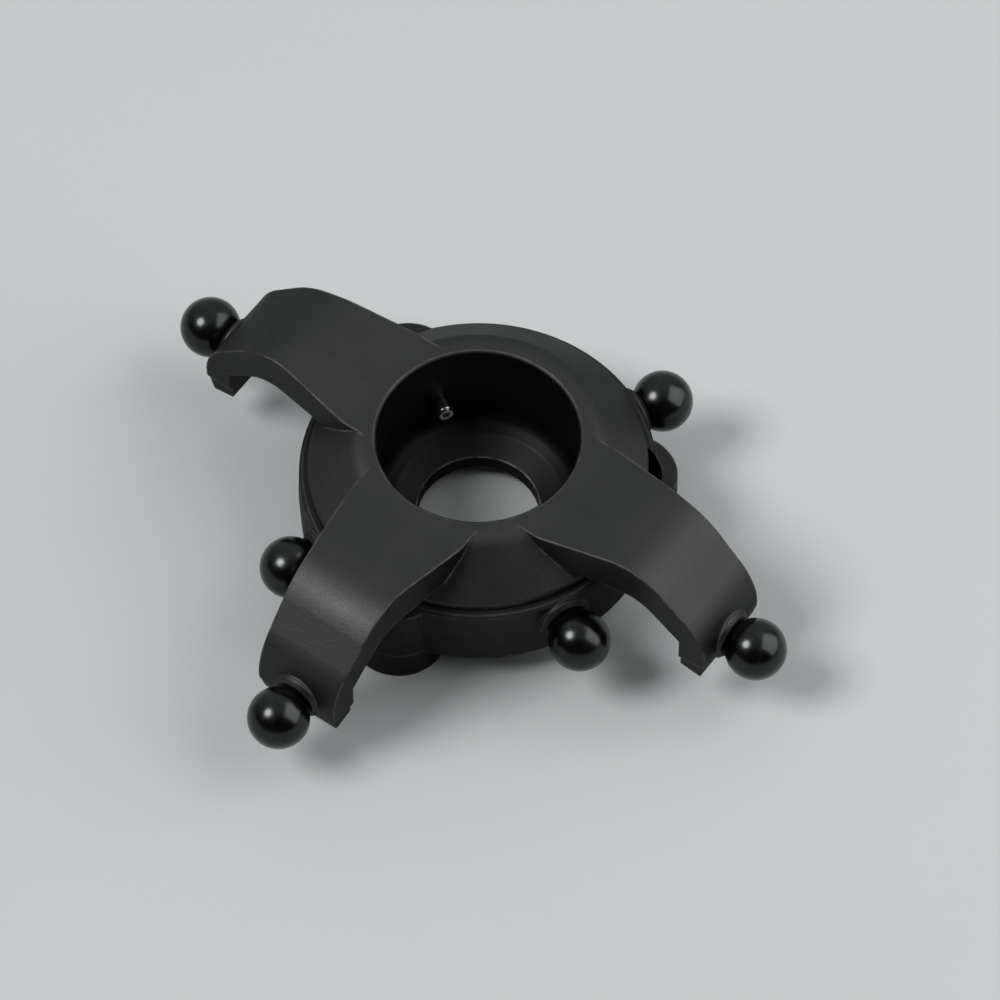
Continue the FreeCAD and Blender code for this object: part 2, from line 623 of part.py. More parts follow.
def guide_pin():
    """The headless screw whose plain end stands out of the bore's wall and runs in the guide ball's slot."""
    tip = "guide_bore_radius - guide_pin_stand"
    end = f"{HUB_RADIUS} + hub_step"
    shape = turned("guide_pin_shank", [
        (f"{tip} + guide_pin_cup_depth", "0"),
        (end, "0"),
        (end, "guide_pin_radius"),
        (f"{tip} + guide_pin_chamfer", "guide_pin_radius"),
        (tip, "guide_pin_radius - guide_pin_chamfer"),
        (tip, "guide_pin_cup"),
    ], "H_Axis")
    drive = turned("guide_pin_socket_cut", [
        (f"{end} - guide_pin_socket_depth", "0"),
        (f"{end} + {OVERCUT}", "0"),
        (f"{end} + {OVERCUT}", "guide_pin_socket / 2"),
        (f"{end} - guide_pin_socket_depth", "guide_pin_socket / 2"),
    ], "H_Axis")
    return place(cut("guide_pin", shape, [drive]), height="guide_pin_height", angle="guide_pin_angle")


pieces = {
    "arm_star": arm_star(),
    "ball_ring": ball_ring(),
    "bearing_cover": bearing_cover(),
    "inner_race": race("inner_race", HUB_RADIUS, f"{HUB_RADIUS} + race_wall"),
    "outer_race": race("outer_race", "bearing_radius - race_wall", "bearing_radius"),
    "bearing_cage": bearing_cage(),
    "bearing_balls": bearing_balls(),
    "upper_shield": shield("upper_shield", "bearing_top - shield_recess - shield_thickness"),
    "lower_shield": shield("lower_shield", f"{BEARING_BOTTOM} + shield_recess"),
    "hub_snap_ring": hub_snap_ring(),
    "guide_pin": guide_pin(),
}
for i, angle in LUG_ANGLES.items():
    pieces[f"cover_screw_{i}"] = cover_screw(i, angle)
    pieces[f"screw_washer_{i}"] = screw_washer(i, angle)
for i, angle in ARM_ANGLES.items():
    pieces[f"arm_ball_stud_{i}"] = ball_stud(f"arm_ball_stud_{i}", "arm_ball_reach", "arm_ball_height",
                                             angle, "arm_pad_reach", "arm_thread_length")
for i, angle in RING_BALL_ANGLES.items():
    pieces[f"ring_ball_stud_{i}"] = ball_stud(f"ring_ball_stud_{i}", "ring_ball_reach", "0",
                                              angle, "ring_pad_reach", "ring_thread_length")

doc.recompute()

for thing in doc.Objects:
    if "Invalid" in thing.State or "Error" in thing.State:
        raise RuntimeError(f"{thing.Name} did not build: {thing.State}")

os.makedirs("parts", exist_ok=True)
for label, piece in pieces.items():
    piece.Label = label
    if piece.Shape.isNull() or not piece.Shape.isValid():
        raise RuntimeError(f"{label} has no valid shape")
for label, piece in pieces.items():
    piece.Shape.exportStep(f"parts/{label}.step")
    print(f"{label}: {len(piece.Shape.Solids)} solid, {piece.Shape.Volume:.2f} mm3")
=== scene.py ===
"""Dresses a helicopter swashplate.

It gets threaded link balls, moulded and machined finishes, and a stage.
"""

import json

import bpy
import numpy as np
from bpy.props import FloatProperty, FloatVectorProperty, IntProperty, PointerProperty
from mathutils import Matrix, Vector

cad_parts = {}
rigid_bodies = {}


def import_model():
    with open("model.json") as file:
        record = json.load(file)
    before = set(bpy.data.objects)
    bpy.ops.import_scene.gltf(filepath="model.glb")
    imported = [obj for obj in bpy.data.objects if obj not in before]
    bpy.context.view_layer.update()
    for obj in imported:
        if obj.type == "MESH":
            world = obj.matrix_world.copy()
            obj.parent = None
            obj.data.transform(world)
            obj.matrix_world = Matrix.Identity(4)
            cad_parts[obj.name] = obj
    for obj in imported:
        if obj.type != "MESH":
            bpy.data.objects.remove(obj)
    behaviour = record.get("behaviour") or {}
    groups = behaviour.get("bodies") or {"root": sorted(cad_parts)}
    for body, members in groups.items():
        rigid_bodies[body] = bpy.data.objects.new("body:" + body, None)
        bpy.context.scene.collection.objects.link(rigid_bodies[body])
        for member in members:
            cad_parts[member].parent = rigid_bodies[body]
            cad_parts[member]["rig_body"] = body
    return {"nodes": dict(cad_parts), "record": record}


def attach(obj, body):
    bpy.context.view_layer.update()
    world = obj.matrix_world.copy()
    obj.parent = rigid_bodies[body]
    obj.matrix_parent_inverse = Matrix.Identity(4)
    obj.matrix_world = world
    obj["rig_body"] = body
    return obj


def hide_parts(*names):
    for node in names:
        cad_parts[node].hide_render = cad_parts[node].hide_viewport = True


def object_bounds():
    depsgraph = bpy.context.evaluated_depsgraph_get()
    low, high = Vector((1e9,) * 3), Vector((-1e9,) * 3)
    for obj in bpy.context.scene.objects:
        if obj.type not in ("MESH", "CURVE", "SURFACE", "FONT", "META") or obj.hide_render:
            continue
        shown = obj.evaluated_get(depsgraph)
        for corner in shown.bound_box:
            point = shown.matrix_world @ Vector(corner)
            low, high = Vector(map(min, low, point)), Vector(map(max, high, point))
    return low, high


bl_info = {
    "name": "Swashplate Dresser",
    "version": (1, 0, 0),
    "blender": (4, 5, 0),
    "location": "View3D > Sidebar > Swashplate",
    "description": "Gives a swashplate its link balls, its finishes and a stage",
    "category": "Object",
}

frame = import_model()
NODES = frame["nodes"]
MOUNTS = {mount["name"]: mount for mount in frame["record"]["mounts"]}
CAD_BOX = [list(corner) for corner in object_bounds()]

# Where each carrier's link balls start their shoulders, measured along the stud from the ball's
# centre, in metres.
SHOULDER_STARTS = {"arm": -0.0021, "ring": -0.00205}

# Edges of the turned pieces that are sharper than this are drawn sharp.
CREASE_DEGREES = 35

# Each lamp: name, azimuth and elevation in degrees, distance and width in metres, watts, shape.
LAMPS = (
    ("key", 230, 52, 1.60, 0.70, 18.0, "DISK"),
    ("window", 34, 36, 0.60, 0.66, 3.1, "SQUARE"),
)


# ---------------------------------------------------------------- what a user would change


class LinkBallSizes(bpy.types.PropertyGroup):
    """Sizes of the turned link balls."""

    ball_radius: FloatProperty(
        name="Ball radius", description="Radius of each link ball",
        default=0.0025, subtype="DISTANCE", unit="LENGTH")
    neck_radius: FloatProperty(
        name="Neck radius", description="Radius of the shoulder under the ball",
        default=0.0015, subtype="DISTANCE", unit="LENGTH")
    thread_radius: FloatProperty(
        name="Thread radius", description="Radius over the crests of the thread",
        default=0.001, subtype="DISTANCE", unit="LENGTH")
    thread_pitch: FloatProperty(
        name="Thread pitch", description="Distance from one crest to the next",
        default=0.0004, subtype="DISTANCE", unit="LENGTH")
    thread_depth: FloatProperty(
        name="Thread depth", description="Height of the crests above the root",
        default=0.0002, subtype="DISTANCE", unit="LENGTH")
    edge_round: FloatProperty(
        name="Edge round", description="Radius on the shoulder's edge",
        default=0.0001, subtype="DISTANCE", unit="LENGTH")
    segments: IntProperty(
        name="Segments", description="Divisions around each link ball", default=72, min=24)


class FinishColours(bpy.types.PropertyGroup):
    """Colours and grain of the finishes."""

    nylon: FloatVectorProperty(
        name="Star nylon", description="Black glass-filled nylon of the star",
        default=(0.0055, 0.0056, 0.0053), size=3, subtype="COLOR", min=0, max=1)
    ring_nylon: FloatVectorProperty(
        name="Ring nylon", description="Black glass-filled nylon of the ring and its cover",
        default=(0.0042, 0.0043, 0.0041), size=3, subtype="COLOR", min=0, max=1)
    # Pale nylon of rubbed edges, handling marks and dust; it also paints the highlight along edges
    # and round the mast's hole.
    worn_and_highlight_nylon: FloatVectorProperty(
        name="Rubbed nylon", description="Nylon where handling has rubbed its edges pale",
        default=(0.130, 0.130, 0.124), size=3, subtype="COLOR", min=0, max=1)
    black_oxide: FloatVectorProperty(
        name="Black oxide", description="Polished black oxide of the link balls",
        default=(0.036, 0.037, 0.0375), size=3, subtype="COLOR", min=0, max=1)
    bright_steel: FloatVectorProperty(
        name="Bearing steel", description="Ground and polished bearing steel",
        default=(0.56, 0.565, 0.57), size=3, subtype="COLOR", min=0, max=1)
    pin_steel: FloatVectorProperty(
        name="Pin steel", description="Stainless steel of the pin and the washers",
        default=(0.46, 0.455, 0.445), size=3, subtype="COLOR", min=0, max=1)
    cage_nylon: FloatVectorProperty(
        name="Cage nylon", description="Natural nylon of the bearing's cage",
        default=(0.50, 0.36, 0.18), size=3, subtype="COLOR", min=0, max=1)
    # Inside this radius the star's colour is darkened as painted shade.
    bore_radius: FloatProperty(
        name="Bore radius", description="The star is smooth and dark inside this radius",
        default=0.00813, subtype="DISTANCE", unit="LENGTH")
    grain_size: FloatProperty(
        name="Grain size", description="Size of the finest grain on the mouldings",
        default=0.00017, subtype="DISTANCE", unit="LENGTH")
    # This width rounds the edges' normals and sets how far the pale edges reach, which are partly
    # rubbing and partly painted highlight.
    wear_and_highlight_width: FloatProperty(
        name="Wear width", description="How far the rubbed edges reach",
        default=0.00028, subtype="DISTANCE", unit="LENGTH")


class StageSettings(bpy.types.PropertyGroup):
    """Camera, lamps and floor."""

    azimuth: FloatProperty(
        name="Azimuth", description="Camera's turn about the mast, from looking along Y",
        default=0.6204495, subtype="ANGLE", unit="ROTATION")
    elevation: FloatProperty(
        name="Elevation", description="Camera's height above the horizon",
        default=0.9818655, subtype="ANGLE", unit="ROTATION")
    roll: FloatProperty(
        name="Roll", description="Camera's turn about its own axis",
        default=-0.0022961, subtype="ANGLE", unit="ROTATION")
    distance: FloatProperty(
        name="Distance", description="From the camera to the point it looks at",
        default=0.4843665, subtype="DISTANCE", unit="LENGTH")
    look_at: FloatVectorProperty(
        name="Look at", description="The point the camera looks at",
        default=(0.0023603, -0.0002918, 0.0), size=3, subtype="TRANSLATION", unit="LENGTH")
    lens: FloatProperty(
        name="Lens", description="Focal length in millimetres on a 36 mm sensor", default=216.683)
    floor_colour: FloatVectorProperty(
        name="Floor colour", description="Colour of the plain floor",
        default=(0.468, 0.487, 0.487), size=3, subtype="COLOR", min=0, max=1)
    floor_size: FloatProperty(
        name="Floor size", description="Width of the floor",
        default=5.0, subtype="DISTANCE", unit="LENGTH")
    ambient: FloatProperty(
        name="Ambient", description="Strength of the soft light from all round", default=0.20)


# ---------------------------------------------------------------- surfaces


def turned_surface(along, radii, segments):
    """A surface turned about X and closed by a pole at each end.

    Station i and angle a give the point (along[i], radii[i, a] cos a, radii[i, a] sin a).
    radii is one row per station and one column per angle, so a thread can wind round it.
    """
    angles = np.linspace(0, 2 * np.pi, segments, endpoint=False)
    grid = np.stack([
        np.repeat(along[:, None], segments, axis=1),
        radii * np.cos(angles),
        radii * np.sin(angles),
    ], axis=-1).reshape(-1, 3)
    poles = np.array([[along[0], 0, 0], [along[-1], 0, 0]])
    step = np.arange(segments)
    turn = np.roll(step, -1)
    rows = np.arange(len(along) - 1)[:, None] * segments
    quads = np.stack([rows + step, rows + turn, rows + segments + turn, rows + segments + step],
                     axis=-1)
    first_pole = len(grid)
    last_row = (len(along) - 1) * segments
    start_cap = np.stack([np.full(segments, first_pole), turn, step], axis=-1)
    end_cap = np.stack([np.full(segments, first_pole + 1), last_row + step, last_row + turn],
                       axis=-1)
    faces = quads.reshape(-1, 4).tolist() + start_cap.tolist() + end_cap.tolist()
    return np.vstack([grid, poles]), faces


def new_piece(name, points, faces, body):
    """A smooth piece on a body: its points carry its place, and its object is at the origin."""
    mesh = bpy.data.meshes.new(name)
    mesh.from_pydata(points.tolist(), [], faces)
    mesh.polygons.foreach_set("use_smooth", np.ones(len(faces), bool))
    mesh.set_sharp_from_angle(angle=np.radians(CREASE_DEGREES))
    mesh.update()
    piece = bpy.data.objects.new(name, mesh)
    bpy.context.scene.collection.objects.link(piece)
    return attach(piece, body)


def thread_wave(turns):
    """The height of a thread's flank, from 0 at the root to 1 at the crest, flattened at both."""
    steepness, root_flat = 1.3, 0.1
    flank = 1 - np.abs(2 * (turns % 1) - 1)
    return np.clip(steepness * flank - root_flat, 0, 1)


def link_ball_surface(sizes, shoulder_start, tip):
    """A link ball on its threaded shank, along X, with the ball's centre at the origin.

    From the tip: a thread whose radius rises by its depth with the wave of x / pitch - a / 2 pi,
    tapered over one pitch at the tip; a plain shoulder with rounded edge; then the ball's arc
    (R cos p, R sin p) from the shoulder to the far pole, where the last ring is all but closed.
    """
    stations_per_pitch, edge_stations, arc_stations = 10, 6, 60
    tip_share, tip_growth = 0.8, 0.2
    pole_radius = 1e-6
    angles = np.linspace(0, 2 * np.pi, sizes.segments, endpoint=False)
    ones = np.ones(sizes.segments)
    threaded = np.arange(tip, shoulder_start, sizes.thread_pitch / stations_per_pitch)
    taper = np.clip((threaded - tip) / sizes.thread_pitch, 0, 1)[:, None]
    wave = thread_wave(threaded[:, None] / sizes.thread_pitch - angles / (2 * np.pi))
    root = sizes.thread_radius - sizes.thread_depth
    shank = root * (tip_share + tip_growth * taper) + sizes.thread_depth * wave * taper
    bend = np.linspace(0, np.pi / 2, edge_stations)
    shoulder_x = shoulder_start + sizes.edge_round * (1 - np.cos(bend))
    shoulder = sizes.neck_radius - sizes.edge_round * (1 - np.sin(bend))
    meeting = np.pi - np.arcsin(sizes.neck_radius / sizes.ball_radius)
    arc = np.linspace(meeting, 0, arc_stations)[:-1]
    along = np.concatenate([threaded, [shoulder_start], shoulder_x,
                            sizes.ball_radius * np.cos(arc), [sizes.ball_radius]])
    radii = np.vstack([shank, root * ones, shoulder[:, None] * ones,
                       (sizes.ball_radius * np.sin(arc))[:, None] * ones, pole_radius * ones])
    return turned_surface(along, radii, sizes.segments)


def aimed(points, centre, axis):
    """Points made along X, turned about Z to point along the axis and moved to the centre."""
    turn = np.array([[axis[0], -axis[1], 0], [axis[1], axis[0], 0], [0, 0, 1]])
    return points @ turn.T + np.array(centre)


def shank_length(node, centre, axis):
    """How far a CAD stud's tip lies behind its ball's centre."""
    points = np.empty(len(node.data.vertices) * 3, np.float32)
    node.data.vertices.foreach_get("co", points)
    return float(-((points.reshape(-1, 3) - np.array(centre)) @ np.array(axis)).min())


# ---------------------------------------------------------------- nodes


def wire(tree, kind, inputs=None, **settings):
    """A node with its settings, and its inputs set or linked by name or number."""
    node = tree.nodes.new(kind)
    for key, value in settings.items():
        setattr(node, key, value)
    for socket, value in (inputs or {}).items():
        if isinstance(value, bpy.types.NodeSocket):
            tree.links.new(value, node.inputs[socket])
        else:
            node.inputs[socket].default_value = value
    return node


def noise(tree, vector, scale, detail=2.0, rough=0.5, distortion=0.0):
    """Smooth noise, from 0 to 1."""
    return wire(tree, "ShaderNodeTexNoise", {
        "Vector": vector, "Scale": scale, "Detail": detail, "Roughness": rough,
        "Distortion": distortion}).outputs["Fac"]


def math_node(tree, operation, *values, clamp=False):
    """The result of a maths operation on values, or on the outputs of other nodes."""
    return wire(tree, "ShaderNodeMath", dict(enumerate(values)),
                operation=operation, use_clamp=clamp).outputs[0]


def ranged(tree, value, low, high, to_low=0.0, to_high=1.0):
    """A value carried from one range to another, held at the ends."""
    return wire(tree, "ShaderNodeMapRange", {
        "Value": value, "From Min": low, "From Max": high,
        "To Min": to_low, "To Max": to_high}).outputs["Result"]


def mixed(tree, factor, first, second):
    """A colour part of the way from the first to the second."""
    node = wire(tree, "ShaderNodeMix", {0: factor, 6: first, 7: second}, data_type="RGBA")
    return node.outputs[2]


def from_mast(tree, vector):
    """A point's distance from the mast axis, and its height along it."""
    parts = wire(tree, "ShaderNodeSeparateXYZ", {"Vector": vector}).outputs
    squares = [math_node(tree, "MULTIPLY", parts[i], parts[i]) for i in (0, 1)]
    return math_node(tree, "SQRT", math_node(tree, "ADD", *squares)), parts[2]


def effect(name, inputs, outputs):
    """An empty node group with its sockets, and its input and output nodes."""
    tree = bpy.data.node_groups.new(name, "ShaderNodeTree")
    for label, kind, default in inputs:
        socket = tree.interface.new_socket(label, in_out="INPUT", socket_type="NodeSocket" + kind)
        if default is not None:
            socket.default_value = default
    for label, kind in outputs:
        tree.interface.new_socket(label, in_out="OUTPUT", socket_type="NodeSocket" + kind)
    return tree, tree.nodes.new("NodeGroupInput").outputs, tree.nodes.new("NodeGroupOutput")


def grain_effect():
    """Moulded grain: fine pits, broader mottling and slow clouds of tone."""
    broad_scale, cloud_scale = 0.3, 0.035
    broad_height, fine_tone, cloud_tone = 0.5, 0.6, 0.9
    tree, given, out = effect(
        "moulded_grain", [("Vector", "Vector", None), ("Size", "Float", 0.0002)],
        [("Tone", "Float"), ("Height", "Float")])
    vector = given["Vector"]
    scale = math_node(tree, "DIVIDE", 1.0, given["Size"])
    fine = noise(tree, vector, scale, detail=3.0, rough=0.6)
    broad = noise(tree, vector, math_node(tree, "MULTIPLY", scale, broad_scale), detail=2.0)
    clouds = noise(tree, vector, math_node(tree, "MULTIPLY", scale, cloud_scale), detail=3.0)
    height = math_node(tree, "MULTIPLY_ADD", broad, broad_height, fine)
    tone = math_node(tree, "MULTIPLY_ADD", fine, fine_tone,
                     math_node(tree, "MULTIPLY", clouds, cloud_tone))
    tree.links.new(ranged(tree, tone, 0.5, 1.0), out.inputs["Tone"])
    tree.links.new(height, out.inputs["Height"])
    return tree


def edge_wear_and_highlight_effect():
    """Edge wear and painted edge highlight: a mask where the rounded normal leaves the flat one,
    and the rounded normal.
    """
    fully_edged = 0.86
    least_edge = 0.25
    tree, given, out = effect(
        "edge_wear_and_highlight", [("Vector", "Vector", None), ("Width", "Float", 0.0002)],
        [("Mask", "Float"), ("Normal", "Vector")])
    rounded = wire(tree, "ShaderNodeBevel", {"Radius": given["Width"]}, samples=6).outputs["Normal"]
    flat = wire(tree, "ShaderNodeNewGeometry").outputs["Normal"]
    agree = wire(tree, "ShaderNodeVectorMath", {0: rounded, 1: flat}, operation="DOT_PRODUCT")
    edge = ranged(tree, agree.outputs["Value"], 1.0, fully_edged)
    patches = ranged(tree, noise(tree, given["Vector"], scale=900.0, detail=3.0), 0.38, 0.62,
                     to_low=least_edge)
    tree.links.new(math_node(tree, "MULTIPLY", edge, patches, clamp=True), out.inputs["Mask"])
    tree.links.new(rounded, out.inputs["Normal"])
    return tree


def scuff_effect():
    """Handling marks: thin lines in two directions, broken into patches, and specks of dust."""
    tilt = (0.3, 0.2)
    turns_and_stretches = ((0.5, 0.09), (1.9, 0.07))
    line_width = 0.022
    speck_edge, speck_heart = 0.040, 0.022
    tree, given, out = effect(
        "handling_marks", [("Vector", "Vector", None), ("Scale", "Float", 500.0)],
        [("Lines", "Float"), ("Dust", "Float")])
    lines = []
    for turn, stretch in turns_and_stretches:
        stretched = wire(tree, "ShaderNodeMapping", {
            "Vector": given["Vector"], "Rotation": (*tilt, turn), "Scale": (stretch, 1.0, 1.0)})
        cells = wire(tree, "ShaderNodeTexVoronoi", {
            "Vector": stretched.outputs["Vector"], "Scale": given["Scale"]},
            feature="DISTANCE_TO_EDGE")
        lines.append(ranged(tree, cells.outputs["Distance"], line_width, 0.0))
    both = math_node(tree, "MAXIMUM", *lines)
    patches = ranged(tree, noise(tree, given["Vector"], scale=260.0), 0.55, 0.72)
    tree.links.new(math_node(tree, "MULTIPLY", both, patches), out.inputs["Lines"])
    grid = wire(tree, "ShaderNodeTexVoronoi", {"Vector": given["Vector"], "Scale": given["Scale"]})
    chosen = wire(tree, "ShaderNodeSeparateXYZ", {"Vector": grid.outputs["Color"]}).outputs["X"]
    near = ranged(tree, grid.outputs["Distance"], speck_edge, speck_heart)
    tree.links.new(math_node(tree, "MULTIPLY", near, ranged(tree, chosen, 0.70, 0.78)),
                   out.inputs["Dust"])
    return tree


def turning_effect():
    """Turned finish: fine rings about the mast axis, of uneven depth."""
    tree, given, out = effect(
        "turned_rings", [("Vector", "Vector", None), ("Pitch", "Float", 0.00005)],
        [("Tone", "Float"), ("Height", "Float")])
    radius, height = from_mast(tree, given["Vector"])
    travel = math_node(tree, "ADD", radius, height)
    rings = wire(tree, "ShaderNodeTexNoise", {
        "W": travel, "Scale": math_node(tree, "DIVIDE", 1.0, given["Pitch"]), "Detail": 3.0},
        noise_dimensions="1D").outputs["Fac"]
    tree.links.new(ranged(tree, rings, 0.3, 0.7), out.inputs["Tone"])
    tree.links.new(rings, out.inputs["Height"])
    return tree


def placed(tree, group, **inputs):
    """A node group put into a material with its own values."""
    values = {key.title(): value for key, value in inputs.items()}
    return wire(tree, "ShaderNodeGroup", values, node_tree=bpy.data.node_groups[group]).outputs


def new_material(name):
    """An empty material: its tree, its Object coordinates and its Principled shader."""
    material = bpy.data.materials.new(name)
    material.use_nodes = True
    tree = material.node_tree
    tree.nodes.clear()
    where = tree.nodes.new("ShaderNodeTexCoord").outputs["Object"]
    shader = tree.nodes.new("ShaderNodeBsdfPrincipled")
    out = tree.nodes.new("ShaderNodeOutputMaterial")
    tree.links.new(shader.outputs["BSDF"], out.inputs["Surface"])
    return material, tree, where, shader


def bumped(tree, height, distance, normal=None):
    """The normal of a surface raised by a height, on top of another normal where one is given."""
    inputs = {"Height": height, "Distance": distance}
    if normal is not None:
        inputs["Normal"] = normal
    return wire(tree, "ShaderNodeBump", inputs).outputs["Normal"]


def scaled(colour, factor):
    """A colour's channels, each times a factor."""
    return tuple(factor * channel for channel in colour)


def shade(colour, factor):
    """A scaled colour with an alpha of 1."""
    return (*scaled(colour, factor), 1.0)


def nylon_finish(name, colour, finishes, rough=(0.42, 0.54), relief=0.000013, sheen=0.44, rub_and_highlight=0.7,
                 bore=None):
    """Moulded glass-filled nylon: grain, clouds of tone, pale edges and handling marks.

    rough is its range of roughness, relief the height of its grain in metres, sheen its glint
    where it faces the camera, and rub how strongly its edges are paled, partly as rubbing and
    partly as a painted highlight. Inside the radius given as bore its colour is darkened as painted
    shade and it is duller, with a painted highlight on the edges round the mast's hole.
    """
    index_of_refraction = 1.53
    dark, light = 0.72, 1.30
    glint_at_edge = 0.2
    # Painted shade darkens the colour inside the bore, and a painted highlight lightens the edges
    # round the mast's hole.
    bore_shade_tone, hole_highlight_tone, bore_share = 0.5, 3.0, 0.3
    mark_strength, dust_strength = 0.05, 0.5
    material, tree, where, shader = new_material(name)
    grain = placed(tree, "moulded_grain", vector=where, size=finishes.grain_size)
    wear = placed(tree, "edge_wear_and_highlight", vector=where, width=finishes.wear_and_highlight_width)
    marks = placed(tree, "handling_marks", vector=where)
    # Pale colour for rubbed edges, marks and dust, also used as a painted highlight along edges.
    rubbed_and_highlight = shade(finishes.worn_and_highlight_nylon, 1.0)
    body = mixed(tree, grain["Tone"], shade(colour, dark), shade(colour, light))
    height = grain["Height"]
    facing = wire(tree, "ShaderNodeLayerWeight", {"Blend": 0.5}).outputs["Facing"]
    glint = ranged(tree, facing, 0.2, 0.65, sheen, sheen * glint_at_edge)
    if bore:
        radius, _ = from_mast(tree, where)
        outside = ranged(tree, radius, bore, bore * 1.02)
        # Painted shade: the colour is darkened inside the bore.
        body = mixed(tree, outside, shade(colour, bore_shade_tone), body)
        # Painted highlight: the edges round the mast's hole take a colour three times as bright as
        # rubbed nylon, while the bore's other edges keep the nylon's own colour.
        past_hole_highlight = ranged(tree, radius, bore * 0.66, bore * 0.68)
        hole_highlight = mixed(tree, past_hole_highlight, shade(finishes.worn_and_highlight_nylon, hole_highlight_tone),
                            shade(colour, 1.0))
        rubbed_and_highlight = mixed(tree, outside, hole_highlight, rubbed_and_highlight)
        share = ranged(tree, outside, 0.0, 1.0, to_low=bore_share)
        height = math_node(tree, "MULTIPLY", height, share)
        glint = math_node(tree, "MULTIPLY", glint, share)
    # Pale edges: partly rubbed nylon, partly a painted highlight along the rounded edges.
    edged = mixed(tree, math_node(tree, "MULTIPLY", wear["Mask"], rub_and_highlight), body, rubbed_and_highlight)
    marked = mixed(tree, math_node(tree, "MULTIPLY", marks["Lines"], mark_strength), edged, rubbed_and_highlight)
    dusted = mixed(tree, math_node(tree, "MULTIPLY", marks["Dust"], dust_strength), marked, rubbed_and_highlight)
    tree.links.new(dusted, shader.inputs["Base Color"])
    tree.links.new(ranged(tree, grain["Tone"], 0.0, 1.0, *rough), shader.inputs["Roughness"])
    shader.inputs["IOR"].default_value = index_of_refraction
    tree.links.new(glint, shader.inputs["Specular IOR Level"])
    tree.links.new(bumped(tree, height, relief, wear["Normal"]), shader.inputs["Normal"])
    return material


def oxide_finish(name, colour):
    """Polished black oxide on steel: near mirror, with faint swirls and specks."""
    dark, light, scratched = 0.7, 1.35, 3.0
    mark_strength, speck_rough, swirl_relief = 0.3, 0.12, 0.0000015
    rough = (0.19, 0.27)
    material, tree, where, shader = new_material(name)
    swirls = noise(tree, where, scale=700.0, detail=4.0, rough=0.6, distortion=1.5)
    specks = ranged(tree, noise(tree, where, scale=9000.0, detail=1.0), 0.70, 0.78)
    marks = placed(tree, "handling_marks", vector=where, scale=900.0)["Lines"]
    body = mixed(tree, swirls, shade(colour, dark), shade(colour, light))
    marked = mixed(tree, math_node(tree, "MULTIPLY", marks, mark_strength), body,
                   shade(colour, scratched))
    tree.links.new(marked, shader.inputs["Base Color"])
    roughness = math_node(tree, "MULTIPLY_ADD", specks, speck_rough,
                          ranged(tree, swirls, 0.3, 0.7, *rough))
    tree.links.new(roughness, shader.inputs["Roughness"])
    shader.inputs["Metallic"].default_value = 1.0
    tree.links.new(bumped(tree, swirls, swirl_relief), shader.inputs["Normal"])
    return material


def steel_finish(name, colour, finishes, rough=(0.16, 0.30), pitch=0.00004):
    """Machined steel: fine turned rings, slow stains and brighter edges.

    rough is its range of roughness, and pitch the distance between its rings in metres.
    """
    stained, clean, ring_tone, edge_tone = 0.72, 1.05, 0.55, 1.4
    ring_strength, edge_strength, ring_relief = 0.3, 0.5, 0.0000012
    wear_share = 0.5
    material, tree, where, shader = new_material(name)
    rings = placed(tree, "turned_rings", vector=where, pitch=pitch)
    wear = placed(tree, "edge_wear_and_highlight", vector=where, width=finishes.wear_and_highlight_width * wear_share)
    stains = noise(tree, where, scale=330.0, detail=3.0)
    body = mixed(tree, ranged(tree, stains, 0.35, 0.65), shade(colour, stained),
                 shade(colour, clean))
    lined = mixed(tree, math_node(tree, "MULTIPLY", rings["Tone"], ring_strength), body,
                  shade(colour, ring_tone))
    edged = mixed(tree, math_node(tree, "MULTIPLY", wear["Mask"], edge_strength), lined,
                  shade(colour, edge_tone))
    tree.links.new(edged, shader.inputs["Base Color"])
    tree.links.new(ranged(tree, stains, 0.3, 0.7, *rough), shader.inputs["Roughness"])
    shader.inputs["Metallic"].default_value = 1.0
    tree.links.new(bumped(tree, rings["Height"], ring_relief, wear["Normal"]),
                   shader.inputs["Normal"])
    return material


def floor_finish(name, colour):
    """Plain pale card: barely uneven in tone and sheen."""
    dark, light = 0.985, 1.015
    specular_level, tooth_relief = 0.3, 0.00001
    material, tree, where, shader = new_material(name)
    tone = noise(tree, where, scale=35.0, detail=4.0, rough=0.55)
    tooth = noise(tree, where, scale=2500.0)
    tree.links.new(mixed(tree, tone, shade(colour, dark), shade(colour, light)),
                   shader.inputs["Base Color"])
    tree.links.new(ranged(tree, tooth, 0.3, 0.7, 0.55, 0.65), shader.inputs["Roughness"])
    shader.inputs["Specular IOR Level"].default_value = specular_level
    tree.links.new(bumped(tree, tooth, tooth_relief), shader.inputs["Normal"])
    return material


def wear_material(material, *names):
    """Gives CAD nodes a finish."""
    for name in names:
        for slot in NODES[name].material_slots:
            slot.material = material


def numbered(stem):
    """The CAD nodes of a repeated piece, in order."""
    return sorted(name for name in NODES if name.startswith(stem))


# ---------------------------------------------------------------- operators


class SWASH_OT_effects(bpy.types.Operator):
    """Builds the shared shader effects"""

    bl_idname = "swash.effects"
    bl_label = "Shader Effects"

    def execute(self, context):
        for build in (grain_effect, edge_wear_and_highlight_effect, scuff_effect, turning_effect):
            build()
        return {"FINISHED"}


class SWASH_OT_mouldings(bpy.types.Operator):
    """Finishes the star, the ring and the ring's cover as moulded nylon"""

    bl_idname = "swash.mouldings"
    bl_label = "Mouldings"

    def execute(self, context):
        finishes = context.scene.swash_finishes
        star = nylon_finish("star_nylon", finishes.nylon, finishes,
                            bore=finishes.bore_radius)
        ring = nylon_finish("ring_nylon", finishes.ring_nylon, finishes, rough=(0.45, 0.58),
                            sheen=0.26, rub_and_highlight=0.4)
        cage = nylon_finish("cage_nylon", finishes.cage_nylon, finishes, relief=0.000002)
        wear_material(star, "arm_star")
        wear_material(ring, "ball_ring", "bearing_cover")
        wear_material(cage, "bearing_cage")
        return {"FINISHED"}


